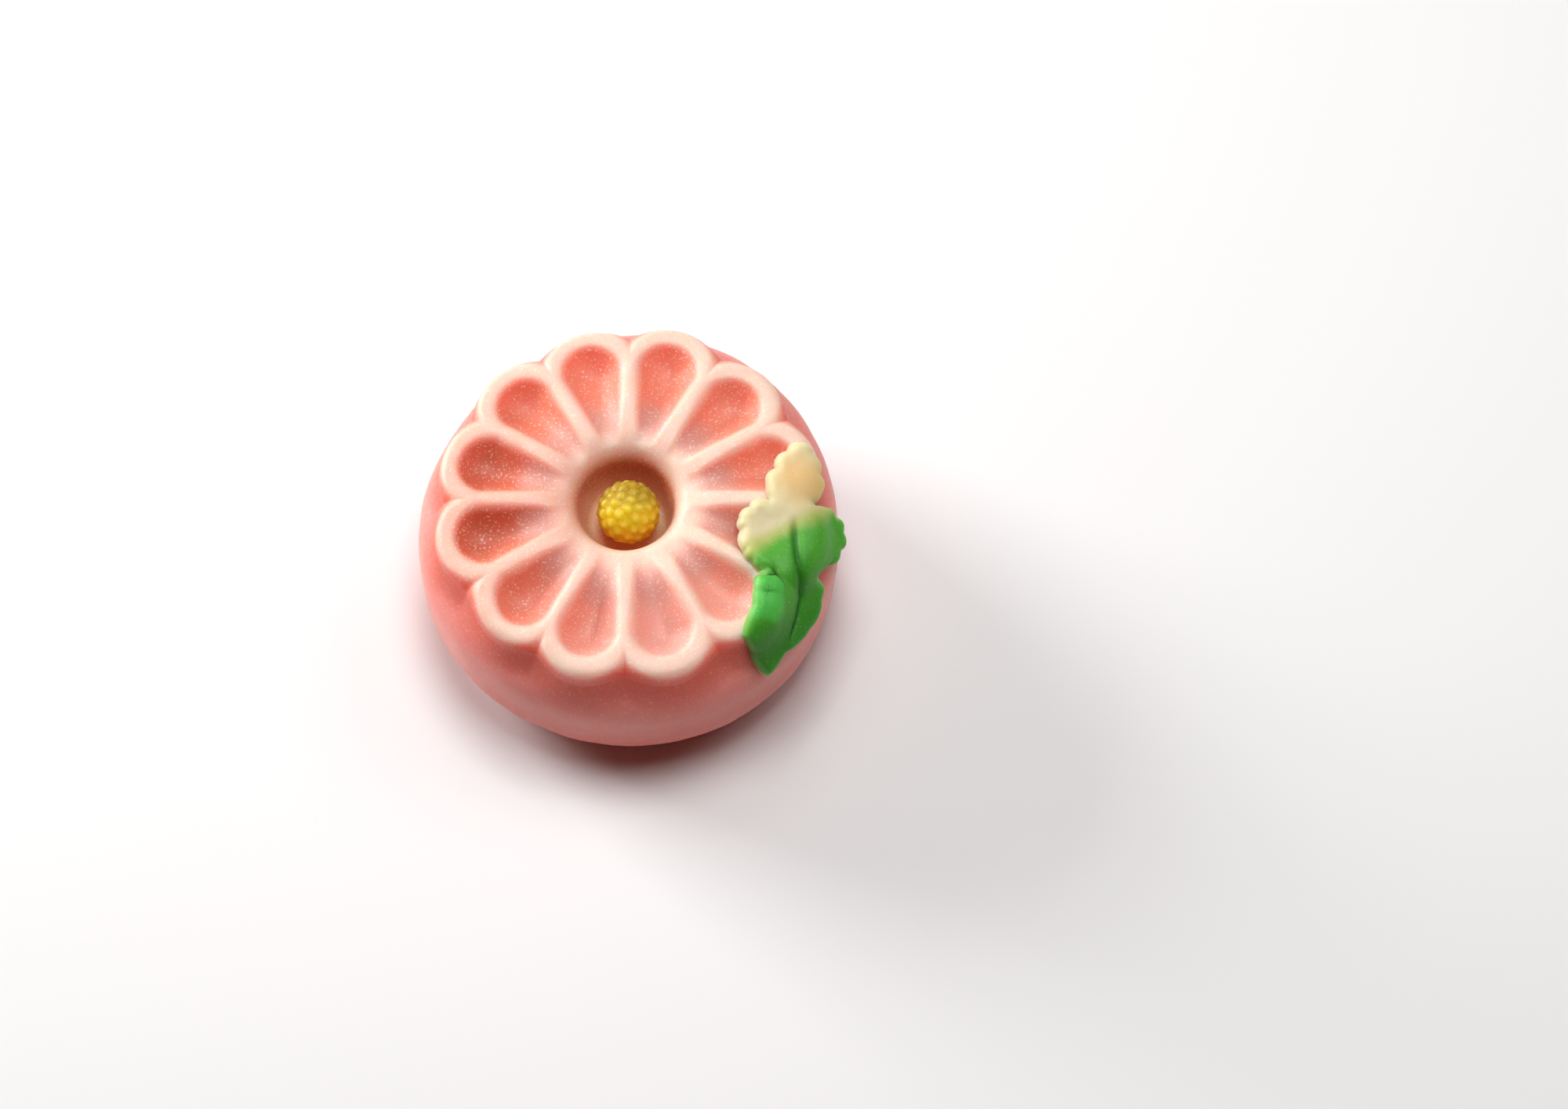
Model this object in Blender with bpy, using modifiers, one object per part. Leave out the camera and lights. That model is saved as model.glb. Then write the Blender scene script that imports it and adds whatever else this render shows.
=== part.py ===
"""Fresh sweet of coloured bean paste, shaped as a chrysanthemum.

A pink bun carries a cream layer pressed into twelve hollowed petals. A seeded yellow ball sits in
the well at its centre, and a lobed leaf lies over the right shoulder. Sizes are in millimetres.
"""

import math

import bmesh
import bpy
from mathutils import Vector
from mathutils.bvhtree import BVHTree
from mathutils.geometry import delaunay_2d_cdt

MM = 0.001
GAP = 0.3

# Bun
BUN_RADIUS = 25.4
BUN_WIDEST_Z = 10.5
BUN_REST_RADIUS = 19.8
BUN_SHOULDER_RISE = 9.6
BUN_SHOULDER_POWER = 5.0
BUN_UNDER_POWER = 2.4
BUN_SEGMENTS = 64
BUN_SWELLS = ((1, 0.006, -57.0), (2, 0.010, 52.0), (3, 0.011, -48.0))

# Petal layer
CREST_Z = 23.5
PETALS = 12
PETAL_TURN = 15.0
PETAL_TIP_CENTRE = 18.0
PETAL_TIP_RADIUS = 5.4
PETAL_REACH = (0.0, 0.0, 0.3, -0.3, 0.0, -0.5, -0.1, -0.4, -0.1, -0.1, -0.5, -0.2)
PETAL_LEAN = 2.5
PETAL_LEAN_AT = 227.0
PETAL_LEAN_WIDTH = 16.0
NOTCH_RADIUS = 20.4
NOTCH_BLEND = 0.8
EDGE_ROLL = 1.2
EDGE_HEIGHT = 0.3
HOLLOW_START = 8.0
HOLLOW_START_RADIUS = 1.3
HOLLOW_END = 17.4
HOLLOW_END_RADIUS = 3.75
HOLLOW_DEPTH = 2.8
HOLLOW_LIP = 0.3
HOLLOW_FADE_START = 5.0
HOLLOW_REACH = (0.0, 0.0, 0.2, -0.1, 0.0, -0.2, 0.0, -0.2, -0.4, -0.4, -0.4, -0.1)
LAYER_SEGMENTS = 144
LAYER_RINGS = 21

# Centre well and ball
WELL_SHIFT = -0.3
WELL_LIP_RADIUS = 5.8
WELL_FLOOR_RADIUS = 4.9
WELL_FLOOR_Z = 15.3
WELL_LIP_ROLL = 1.3
BALL_RADIUS = 3.75
BALL_CENTRE_Z = 19.45
BALL_SEEDS = 80
BALL_SEED_HEIGHT = 0.42
BALL_SEED_REACH = 0.95

# Leaf
LEAF_AZIMUTH = -45.0
LEAF_TILT = 62.0
LEAF_MIDDLE = (11.0, 2.5)
LEAF_THICKNESS = 1.5
LEAF_EDGE = 0.45
LEAF_ROUNDING = 1.0
LEAF_SAG = 0.06
LEAF_FOOT = 0.45
LEAF_ABOVE = 60.0
LEAF_POINT_STEP = 0.82
LEAF_EDGE_STEP = 0.62
VEIN = ((-0.6, 5.6), (-0.4, 1.9), (-0.1, -1.7), (0.6, -4.2), (0.6, -6.8), (0.1, -10.4))
VEIN_DEPTH = 0.45
VEIN_WIDTH = 0.55
FOLD_PLACE = (-4.3, -4.0)
FOLD_HEIGHT = 0.6
FOLD_REACH = 1.6
# Each lobe: how far its scallops bulge, as a share of their width, and the cusps between them
LEAF_LOBES = (
    (0.07, ((-1.1, -14.2), (0.4, -11.4), (3.2, -8.2), (4.3, -6.2), (4.3, -4.4), (4.3, -2.7), (2.6, -1.5))),
    (0.22, ((2.6, -1.5), (4.4, -0.2), (6.1, 1.7), (6.4, 4.0), (4.9, 5.8), (3.4, 6.6), (1.5, 6.3))),
    (0.20, ((1.5, 6.3), (2.9, 8.3), (2.4, 10.3), (1.5, 12.8), (0.0, 14.1), (-1.7, 12.8), (-3.1, 10.4),
            (-4.1, 8.4), (-3.7, 6.5))),
    (0.17, ((-3.7, 6.5), (-4.9, 6.5), (-5.9, 5.4), (-7.0, 3.8), (-6.8, 2.3), (-6.5, -0.2), (-5.7, -1.3),
            (-4.6, -2.3))),
    (0.04, ((-4.6, -2.3), (-5.6, -3.3), (-5.7, -6.4), (-6.4, -10.1), (-4.5, -11.7), (-3.5, -13.0),
            (-1.6, -14.3), (-1.1, -14.2))),
)
LEAF_SINUS_BULGE = 0.4


def polar(radius, degrees):
    """Point in the plane at a radius and an angle."""
    return Vector((radius * math.cos(math.radians(degrees)), radius * math.sin(math.radians(degrees))))


def smooth_max(a, b, blend):
    """Larger of two numbers, with the corner between them rounded."""
    near = max(blend - abs(a - b), 0.0) / blend
    return max(a, b) + near * near * blend / 4.0


# Bun outline and skin

def bun_swell(degrees):
    """How much wider than a true circle the bun is at an angle."""
    waves = (size * math.cos(math.radians(count * (degrees - turn))) for count, size, turn in BUN_SWELLS)
    return 1.0 + sum(waves)


def bun_top(radius, degrees):
    """Height of the bun's shoulder at a radius and an angle."""
    share = min(radius / (BUN_RADIUS * bun_swell(degrees)), 0.9999)
    rise = (1.0 - share ** BUN_SHOULDER_POWER) ** (1.0 / BUN_SHOULDER_POWER)
    return BUN_WIDEST_Z + BUN_SHOULDER_RISE * rise


def well_radius(height):
    """Radius of the tapering well at a height."""
    share = (height - WELL_FLOOR_Z) / (CREST_Z - WELL_FLOOR_Z)
    return WELL_FLOOR_RADIUS + (WELL_LIP_RADIUS - WELL_FLOOR_RADIUS) * max(share, 0.0) ** 0.6


# Petal layer relief

def petal_at(x, y):
    """Nearest petal and the point's place along and across that petal's middle line."""
    degrees = math.degrees(math.atan2(y, x)) % 360.0
    lean = PETAL_LEAN * math.exp(-((degrees - PETAL_LEAN_AT) / PETAL_LEAN_WIDTH) ** 2)
    index = round((degrees - lean - PETAL_TURN) / 30.0) % PETALS
    middle = math.radians(PETAL_TURN + 30.0 * index + lean)
    along = x * math.cos(middle) + y * math.sin(middle)
    across = y * math.cos(middle) - x * math.sin(middle)
    return index, along, across


def edge_distance(x, y):
    """Distance inside the layer's scalloped edge, negative outside it."""
    index, along, across = petal_at(x, y)
    tip = PETAL_TIP_RADIUS - math.hypot(along - PETAL_TIP_CENTRE - PETAL_REACH[index], across)
    return smooth_max(tip, NOTCH_RADIUS - math.hypot(x, y), NOTCH_BLEND)


def outline_radius(degrees):
    """Radius of the scalloped edge at an angle, found by halving."""
    low, high = HOLLOW_END, BUN_RADIUS
    for _ in range(24):
        middle = (low + high) / 2.0
        point = polar(middle, degrees)
        if edge_distance(point.x, point.y) > 0.0:
            low = middle
        else:
            high = middle
    return low


def hollow_share(along, across):
    """How far down a petal's drop-shaped hollow a place lies: 1 on its floor, falling to 0 past its lip."""
    length = HOLLOW_END - HOLLOW_START
    run = min(max((along - HOLLOW_START) / length, 0.0), 1.0)
    reach = HOLLOW_START_RADIUS + (HOLLOW_END_RADIUS - HOLLOW_START_RADIUS) * run
    away = math.hypot(across, along - HOLLOW_START - run * length) / reach
    rise = 1.0 - away * away
    return 0.5 * (rise + math.hypot(rise, HOLLOW_LIP))


def hollow_depth(x, y):
    """Depth pressed into the layer at a point by its petal's hollow."""
    index, along, across = petal_at(x, y)
    fall = min(max((along - HOLLOW_FADE_START) / (HOLLOW_END - HOLLOW_FADE_START), 0.0), 1.0)
    return HOLLOW_DEPTH * hollow_share(along - HOLLOW_REACH[index], across) * fall * fall * (3.0 - 2.0 * fall)


def crest_height(radius):
    """Height of the layer's ridges, which fall to the well and to the petal tips."""
    inner = min(radius - 12.5, 0.0)
    outer = max(radius - 12.5, 0.0)
    return CREST_Z + 0.2 - 0.0327 * inner ** 2 - 0.0008 * outer ** 3


def layer_top(x, y):
    """Height of the pressed top of the petal layer."""
    radius = math.hypot(x, y)
    degrees = math.degrees(math.atan2(y, x))
    foot = bun_top(radius, degrees) + GAP + EDGE_HEIGHT
    height = max(crest_height(radius) - hollow_depth(x, y), foot)
    past_edge = min(max(1.0 - edge_distance(x, y) / EDGE_ROLL, 0.0), 1.0)
    past_lip = min(max(1.0 - (radius - WELL_LIP_RADIUS) / WELL_LIP_ROLL, 0.0), 1.0)
    height = foot + (height - foot) * math.sqrt(1.0 - past_edge ** 2)
    return height - WELL_LIP_ROLL * (1.0 - math.sqrt(1.0 - past_lip ** 2))


# Blender helpers

def paste_material(name, colour):
    """Plain matt paste of one colour."""
    material = bpy.data.materials.new(name)
    material.use_nodes = True
    shader = material.node_tree.nodes["Principled BSDF"]
    shader.inputs["Base Color"].default_value = (*colour, 1.0)
    shader.inputs["Roughness"].default_value = 0.6
    return material


def add_object(name, mesh, material):
    """Object in the sweet's collection, with its own material."""
    obj = bpy.data.objects.new(name, mesh)
    sweet.objects.link(obj)
    mesh.materials.append(material)
    return obj


def turned_mesh(name, profile, segments):
    """Mesh of a profile of radius and height points turned about the upright axis."""
    points = [(radius * MM, 0.0, height * MM) for radius, height in profile]
    edges = [(i, i + 1) for i in range(len(points) - 1)]
    line = bpy.data.meshes.new(name)
    line.from_pydata(points, edges, [])
    obj = bpy.data.objects.new(name, line)
    sweet.objects.link(obj)
    screw = obj.modifiers.new("Turn", "SCREW")
    screw.steps = segments
    screw.render_steps = segments
    screw.use_merge_vertices = True
    screw.merge_threshold = 0.00001
    evaluated = obj.evaluated_get(bpy.context.evaluated_depsgraph_get())
    mesh = bpy.data.meshes.new_from_object(evaluated)
    bpy.data.objects.remove(obj)
    bpy.data.meshes.remove(line)
    return mesh


def close_mesh(mesh):
    """Joins doubled points, splits faces into triangles and faces them outwards."""
    work = bmesh.new()
    work.from_mesh(mesh)
    bmesh.ops.remove_doubles(work, verts=work.verts, dist=0.00001)
    bmesh.ops.triangulate(work, faces=work.faces)
    bmesh.ops.recalc_face_normals(work, faces=work.faces)
    if work.calc_volume(signed=True) < 0.0:
        bmesh.ops.reverse_faces(work, faces=work.faces)
    work.to_mesh(mesh)
    work.free()
    mesh.update()


for old in list(bpy.data.objects):
    bpy.data.objects.remove(old)
sweet = bpy.data.collections.new("chrysanthemum_sweet")
bpy.context.scene.collection.children.link(sweet)

# Bun: a profile turned about the upright axis, then swollen unevenly like hand-rolled paste

rest_share = 1.0 - (BUN_REST_RADIUS / BUN_RADIUS) ** BUN_UNDER_POWER
under_reach = BUN_WIDEST_Z / rest_share ** (1.0 / BUN_UNDER_POWER)
bun_profile = [(0.0, 0.0), (BUN_REST_RADIUS * 0.94, 0.0)]
for height in (0.25, 1.2, 2.8, 5.2, 7.8):
    share = ((BUN_WIDEST_Z - height) / under_reach) ** BUN_UNDER_POWER
    bun_profile.append((BUN_RADIUS * (1.0 - share) ** (1.0 / BUN_UNDER_POWER), height))
for degrees in (0.0, 4.0, 12.0, 22.0, 32.0, 42.0, 52.0, 64.0, 78.0):
    angle = math.radians(degrees)
    bun_profile.append((
        BUN_RADIUS * math.cos(angle) ** (2.0 / BUN_SHOULDER_POWER),
        BUN_WIDEST_Z + BUN_SHOULDER_RISE * math.sin(angle) ** (2.0 / BUN_SHOULDER_POWER),
    ))
well_top = bun_top(6.0, 0.0)
bun_profile.append((well_radius(well_top), well_top))
for height in (WELL_FLOOR_Z + 2.4, WELL_FLOOR_Z + 0.8):
    bun_profile.append((well_radius(height), height))
bun_profile.append((WELL_FLOOR_RADIUS - 0.8, WELL_FLOOR_Z))
bun_profile.append((0.0, WELL_FLOOR_Z))
bun_mesh = turned_mesh("bun", bun_profile, BUN_SEGMENTS)
for vertex in bun_mesh.vertices:
    x, y = vertex.co.x / MM, vertex.co.y / MM
    radius = math.hypot(x, y)
    swell = 1.0 + (bun_swell(math.degrees(math.atan2(y, x))) - 1.0) * min(radius / BUN_RADIUS, 1.0) ** 2
    shift = WELL_SHIFT if radius < 6.0 and vertex.co.z / MM > 12.0 else 0.0
    vertex.co.x = (x * swell + shift) * MM
    vertex.co.y = y * swell * MM
close_mesh(bun_mesh)
bun = add_object("bun", bun_mesh, paste_material("pink bean paste", (0.86, 0.42, 0.38)))

# Petal layer: a turned washer whose points are moved to where the petal mould presses them.
# A washer point's radius is a ring number, and its height tells the top from the underside.
washer = [(1.0, 0.0), (1.0, 0.4), (1.0, 1.0)]
washer += [(1.0 + ring, 1.0) for ring in range(1, LAYER_RINGS + 1)]
washer += [(1.0 + LAYER_RINGS * share, 0.0) for share in (1.0, 0.85, 0.65, 0.35)]
washer += [washer[0]]
layer_mesh = turned_mesh("petal_layer", washer, LAYER_SEGMENTS)
outlines = {}
for vertex in layer_mesh.vertices:
    x, y, side = vertex.co.x / MM, vertex.co.y / MM, vertex.co.z / MM
    degrees = math.degrees(math.atan2(y, x))
    key = round(degrees * 100.0)
    if key not in outlines:
        outlines[key] = outline_radius(degrees)
    ring = max(math.hypot(x, y) - 1.0, 0.0)
    spread = (ring / LAYER_RINGS) ** 0.86
    radius = WELL_LIP_RADIUS + spread * (outlines[key] - WELL_LIP_RADIUS)
    direction = polar(1.0, degrees)
    foot = bun_top(radius, degrees) + GAP
    top = layer_top(direction.x * radius, direction.y * radius)
    height = foot + side * (top - foot)
    if ring < 0.5:
        radius = well_radius(height) + (WELL_LIP_RADIUS - well_radius(top)) * side
    shift = WELL_SHIFT * min(max((9.0 - radius) / 3.0, 0.0), 1.0)
    vertex.co = Vector((direction.x * radius + shift, direction.y * radius, height)) * MM
close_mesh(layer_mesh)
layer = add_object("petal_layer", layer_mesh, paste_material("cream bean paste", (0.93, 0.68, 0.52)))

# Stamen ball: a sphere whose surface is raised into small round seeds

seeds = []
for index in range(BALL_SEEDS):
    level = 1.0 - 2.0 * (index + 0.5) / BALL_SEEDS
    turn = index * math.pi * (3.0 - math.sqrt(5.0))
    ring = math.sqrt(1.0 - level * level)
    seeds.append(Vector((ring * math.cos(turn), ring * math.sin(turn), level)))
bpy.ops.mesh.primitive_ico_sphere_add(subdivisions=4, radius=1.0)
ball_source = bpy.context.object
ball_mesh = ball_source.data.copy()
bpy.data.objects.remove(ball_source)
for vertex in ball_mesh.vertices:
    outward = vertex.co.normalized()
    nearest = min((outward - seed).length for seed in seeds) * BALL_RADIUS / BALL_SEED_REACH
    raised = math.sqrt(max(1.0 - nearest * nearest, 0.0))
    place = outward * (BALL_RADIUS - BALL_SEED_HEIGHT * (1.0 - raised))
    vertex.co = (place + Vector((0.0, 0.0, BALL_CENTRE_Z))) * MM
close_mesh(ball_mesh)
ball = add_object("stamen_ball", ball_mesh, paste_material("yellow bean paste", (0.83, 0.53, 0.03)))

# Leaf outline: each lobe is a row of scallops, which are flatter beside the deep cuts between lobes

def leaf_outline(step):
    """Closed line of points round the leaf, about one step apart, anticlockwise from its tip."""
    points = []
    for bulge, cusps in LEAF_LOBES:
        for index in range(len(cusps) - 1):
            start = Vector(cusps[index])
            chord = Vector(cusps[index + 1]) - start
            share = bulge * (LEAF_SINUS_BULGE if index in (0, len(cusps) - 2) else 1.0)
            outward = Vector((chord.y, -chord.x)) * share
            pieces = max(round(chord.length * (1.0 + 2.0 * share) / step), 1)
            for piece in range(pieces):
                place = piece / pieces
                points.append(start + chord * place + outward * 4.0 * place * (1.0 - place))
    return points


def line_distance(point, line):
    """Distance from a point to a line of joined points."""
    best = 1000.0
    for start, end in zip(line, line[1:]):
        step = end - start
        share = min(max((point - start).dot(step) / step.length_squared, 0.0), 1.0)
        best = min(best, (point - start - step * share).length)
    return best


def is_inside(point, outline):
    """Whether a point lies within a closed outline."""
    inside = False
    for start, end in zip(outline, outline[1:] + outline[:1]):
        if (start.y > point.y) != (end.y > point.y):
            if point.x < start.x + (point.y - start.y) / (end.y - start.y) * (end.x - start.x):
                inside = not inside
    return inside


outline = leaf_outline(LEAF_EDGE_STEP)
vein = [Vector(point) for point in VEIN]
inner = []
for row in range(-26, 26):
    for column in range(-20, 20):
        point = Vector(((column + 0.5 * (row % 2)) * LEAF_POINT_STEP, row * LEAF_POINT_STEP * 0.866))
        if is_inside(point, outline) and line_distance(point, outline + outline[:1]) > 0.45 * LEAF_POINT_STEP:
            inner.append(point)
ring = list(range(len(outline)))
rim_edges = list(zip(ring, ring[1:] + ring[:1]))
flat, _, triangles, *_ = delaunay_2d_cdt(outline + inner, rim_edges, [], 1, 0.0001)

# Leaf drape: the flat leaf is laid on the shoulder along its own normal and pulled taut over the relief

tilt, azimuth = math.radians(LEAF_TILT), math.radians(LEAF_AZIMUTH)
normal = Vector((math.cos(tilt) * math.cos(azimuth), math.cos(tilt) * math.sin(azimuth), math.sin(tilt)))
along_axis = (Vector((0.0, 1.0, 0.0)) - normal * normal.y).normalized()
across_axis = along_axis.cross(normal)
middle = Vector(LEAF_MIDDLE)
grounds = []
for obj in (bun, layer):
    points = [vertex.co / MM for vertex in obj.data.vertices]
    grounds.append(BVHTree.FromPolygons(points, [tuple(face.vertices) for face in obj.data.polygons]))


def ground_height(point):
    """Highest ground under a point of the flat leaf, along the leaf's normal."""
    best = -1000.0
    around = [polar(LEAF_FOOT, degrees) for degrees in (0.0, 90.0, 180.0, 270.0)]
    for shift in [Vector((0.0, 0.0))] + around:
        place = point + middle + shift
        start = across_axis * place.x + along_axis * place.y + normal * LEAF_ABOVE
        for ground in grounds:
            _, _, _, distance = ground.ray_cast(start, -normal)
            if distance is not None:
                best = max(best, LEAF_ABOVE - distance)
    return best


neighbours = [set() for _ in flat]
for triangle in triangles:
    for a, b in zip(triangle, triangle[1:] + triangle[:1]):
        neighbours[a].add(b)
        neighbours[b].add(a)
floor_heights = [ground_height(point) + GAP for point in flat]
heights = list(floor_heights)
for _ in range(60):
    for index, near in enumerate(neighbours):
        taut = sum(heights[other] for other in near) / len(near)
        heights[index] = max(floor_heights[index], taut - LEAF_SAG * LEAF_POINT_STEP ** 2)
for index, point in enumerate(flat):
    fold = (point - Vector(FOLD_PLACE)).length / FOLD_REACH
    heights[index] += FOLD_HEIGHT * math.exp(-fold * fold)


def leaf_place(index, height):
    """Point in space of a flat leaf point raised to a height along the leaf's normal."""
    place = flat[index] + middle
    return across_axis * place.x + along_axis * place.y + normal * height


sheet = bmesh.new()
corners = [sheet.verts.new(leaf_place(index, height)) for index, height in enumerate(heights)]
for triangle in triangles:
    sheet.faces.new([corners[index] for index in triangle])
sheet.normal_update()
facings = [corner.normal.copy() for corner in corners]
sheet.free()
closed_outline = outline + outline[:1]
under, over = [], []
for index, point in enumerate(flat):
    inset = min(line_distance(point, closed_outline) / LEAF_ROUNDING, 1.0)
    thickness = LEAF_EDGE + (LEAF_THICKNESS - LEAF_EDGE) * math.sqrt(1.0 - (1.0 - inset) ** 2)
    thickness -= VEIN_DEPTH * math.exp(-(line_distance(point, vein) / VEIN_WIDTH) ** 2)
    place = leaf_place(index, heights[index])
    under.append(place * MM)
    over.append((place + facings[index] * max(thickness, LEAF_EDGE)) * MM)
count = len(flat)
faces = [tuple(triangle)[::-1] for triangle in triangles]
faces += [tuple(index + count for index in triangle) for triangle in triangles]
faces += [(a, b, b + count, a + count) for a, b in rim_edges]
leaf_mesh = bpy.data.meshes.new("leaf")
leaf_mesh.from_pydata(under + over, [], faces)
close_mesh(leaf_mesh)
leaf = add_object("leaf", leaf_mesh, paste_material("green bean paste", (0.12, 0.42, 0.10)))
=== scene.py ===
import math

import bpy
import numpy as np
from mathutils import Matrix, Vector, noise
from mathutils.bvhtree import BVHTree
from mathutils.geometry import delaunay_2d_cdt


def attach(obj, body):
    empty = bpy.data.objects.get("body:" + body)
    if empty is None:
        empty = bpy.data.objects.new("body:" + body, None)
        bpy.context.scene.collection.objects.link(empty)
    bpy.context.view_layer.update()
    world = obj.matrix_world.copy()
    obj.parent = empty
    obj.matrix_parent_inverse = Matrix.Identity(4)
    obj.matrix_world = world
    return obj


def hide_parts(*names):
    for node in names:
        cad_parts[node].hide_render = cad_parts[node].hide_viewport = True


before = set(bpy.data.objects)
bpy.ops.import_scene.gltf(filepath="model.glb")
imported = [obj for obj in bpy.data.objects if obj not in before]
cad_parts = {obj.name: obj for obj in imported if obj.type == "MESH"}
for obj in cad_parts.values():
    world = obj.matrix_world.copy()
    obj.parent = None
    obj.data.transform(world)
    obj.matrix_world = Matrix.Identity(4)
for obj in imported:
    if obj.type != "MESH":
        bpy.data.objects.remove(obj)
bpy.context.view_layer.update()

# Bun and petals
# The body is white bean paste kneaded with rice dough and tinted pink, with a thin cream sheet of the
# same paste laid over its top. Twelve petals are pressed in with a drop-shaped stick, which thins the
# cream until the pink shows, and a tapering well is pushed into the middle. Sizes are in millimetres.

MM = 0.001
BUN_RADIUS = 25.4
BUN_WIDEST_Z = 10.5
BUN_REST_RADIUS = 19.8
BUN_SHOULDER_RISE = 9.6
BUN_SHOULDER_POWER = 5.0
BUN_UNDER_POWER = 2.4
BUN_OUTERMOST_SHARE = 0.9999
# Swells of the hand-rolled bun: how many go round it, their size, and where the first one stands
BUN_SWELLS = ((1, 0.006, -57.0), (2, 0.010, 52.0), (3, 0.011, -48.0))
# Ridges between the petals, highest a little over halfway out
CREST_Z = 23.5
CREST_RADIUS = 12.5
CREST_LIFT = 0.2
CREST_FALL_IN = 0.045
CREST_FALL_OUT = 0.0008
# Petals, with how much further or less far each one reaches, and a lean of those at the front left
PETALS = 12
PETAL_STEP = 360.0 / PETALS
PETAL_TURN = 15.0
PETAL_TIP_CENTRE = 18.0
PETAL_TIP_RADIUS = 5.4
PETAL_REACH = np.array((0.0, 0.0, 0.3, -0.3, 0.0, -0.5, -0.1, -0.4, -0.1, -0.1, -0.5, -0.2))
PETAL_LEAN = 2.5
PETAL_LEAN_AT = 227.0
PETAL_LEAN_WIDTH = 16.0
# The sheet's edge: how it rounds off at the tips and in the notches, and the slope at its foot
NOTCH_RADIUS = 21.8
NOTCH_BLEND = 2.8
NOTCH_SHARPNESS = 6
EDGE_ROLL = 1.3
NOTCH_ROLL = 4.0
EDGE_POWER = 2.9
NOTCH_POWER = 2.0
EDGE_FOOT = 2.3
EDGE_SPREAD = 1.6
EDGE_SPREAD_MOST = 0.9
EDGE_SLOPE_POWER = 2.0
SHEET_LEAST = 0.5
# The stick's drop shape, and how thin it leaves the cream
HOLLOW_START = 8.0
HOLLOW_START_RADIUS = 1.3
HOLLOW_END = 17.4
HOLLOW_END_RADIUS = 3.75
HOLLOW_DEPTH = 2.8
HOLLOW_LIP = 0.3
HOLLOW_FADE_START = 6.0
PRESSED_START = 7.2
PRESSED_FULL = 14.0
PRESSED_EDGE = 0.04
PRESSED_EDGE_INNER = 0.55
PRESSED_EDGE_OUTER = 0.36
PRESSED_EDGE_RUN = (14.0, 20.0)
HOLLOW_REACH = np.array((0.0, 0.0, 0.2, -0.1, 0.0, -0.2, 0.0, -0.2, -0.4, -0.4, -0.4, -0.1))
# The well, pushed in a little off the middle
WELL_SHIFT = np.array((-0.3, 0.35))
WELL_SHIFT_END = 9.0
WELL_SHIFT_RUN = 3.0
WELL_LIP_RADIUS = 5.8
WELL_FLOOR_RADIUS = 4.9
WELL_FLOOR_Z = 15.3
WELL_FLOOR_FILLET = 0.8
WELL_LIP_ROLL = 1.7
WELL_WALL_POWER = 0.7
# The skin's mesh: its columns, and the rings of each of its zones
SKIN_SEGMENTS = 528
FLOOR_RINGS = 8
FILLET_RINGS = 5
WALL_RINGS = 20
LIP_RINGS = 9
PETAL_RINGS = 54
ROLL_RINGS = 24
SLOPE_RINGS = 12
SHOULDER_RINGS = 29
SHOULDER_CROWDING = 1.6
UNDER_RINGS = 16
UNDERSIDE_SHARES = (0.985, 0.9, 0.7, 0.4, 0.1)
# Lumps that the hand leaves: their size, their rise, and a seed for where they fall
LUMPS = ((4.5, 0.10, 1.0), (1.4, 0.03, 2.0))
LUMPS_CENTRE_Z = 9.0
LUMPS_FULL_Z = 6.0


def smooth_max(a, b, blend):
    """Larger of two values, with the corner between them rounded."""
    near = np.maximum(blend - np.abs(a - b), 0.0) / blend
    return np.maximum(a, b) + near * near * blend / 4.0


def smooth_step(start, end, value):
    """Rises smoothly from 0 at start to 1 at end."""
    share = np.clip((value - start) / (end - start), 0.0, 1.0)
    return share * share * (3.0 - 2.0 * share)


def bun_swell(turn):
    """How much wider than a true circle the hand-rolled bun is at an angle in radians."""
    swells = [size * np.cos(count * (turn - math.radians(phase))) for count, size, phase in BUN_SWELLS]
    return 1.0 + sum(swells)


def bun_top(radius, turn):
    """Height of the bun's shoulder."""
    share = np.minimum(radius / (BUN_RADIUS * bun_swell(turn)), BUN_OUTERMOST_SHARE)
    rise = (1.0 - share ** BUN_SHOULDER_POWER) ** (1.0 / BUN_SHOULDER_POWER)
    return BUN_WIDEST_Z + BUN_SHOULDER_RISE * rise


def petal_places(radius, turn):
    """The nearest petal's number, and places along and across that petal's middle line."""
    degrees = np.degrees(turn) % 360.0
    degrees = degrees - PETAL_LEAN * np.exp(-((degrees - PETAL_LEAN_AT) / PETAL_LEAN_WIDTH) ** 2)
    number = np.round((degrees - PETAL_TURN) / PETAL_STEP).astype(int)
    away = np.radians(degrees - PETAL_TURN - PETAL_STEP * number)
    return number % PETALS, radius * np.cos(away), radius * np.sin(away)


def edge_distance(radius, turn):
    """Distance inside the cream sheet's scalloped edge, negative outside it."""
    number, along, across = petal_places(radius, turn)
    tip = PETAL_TIP_RADIUS - np.hypot(along - PETAL_TIP_CENTRE - PETAL_REACH[number], across)
    return smooth_max(tip, NOTCH_RADIUS - radius, NOTCH_BLEND)


def notch_share(turn):
    """How near an angle is to a notch between two petals, from 0 at a petal's middle to 1."""
    _, along, across = petal_places(1.0, turn)
    return np.abs(np.arctan2(across, along)) / math.radians(PETAL_STEP / 2.0)


def edge_roll(turn):
    """Width over which the sheet's edge rolls down, widest in the notches."""
    return EDGE_ROLL + (NOTCH_ROLL - EDGE_ROLL) * notch_share(turn) ** NOTCH_SHARPNESS


def edge_power(turn):
    """How square the rolled edge is: nearly square at the tips and round in the notches."""
    return EDGE_POWER + (NOTCH_POWER - EDGE_POWER) * notch_share(turn) ** NOTCH_SHARPNESS


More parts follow.
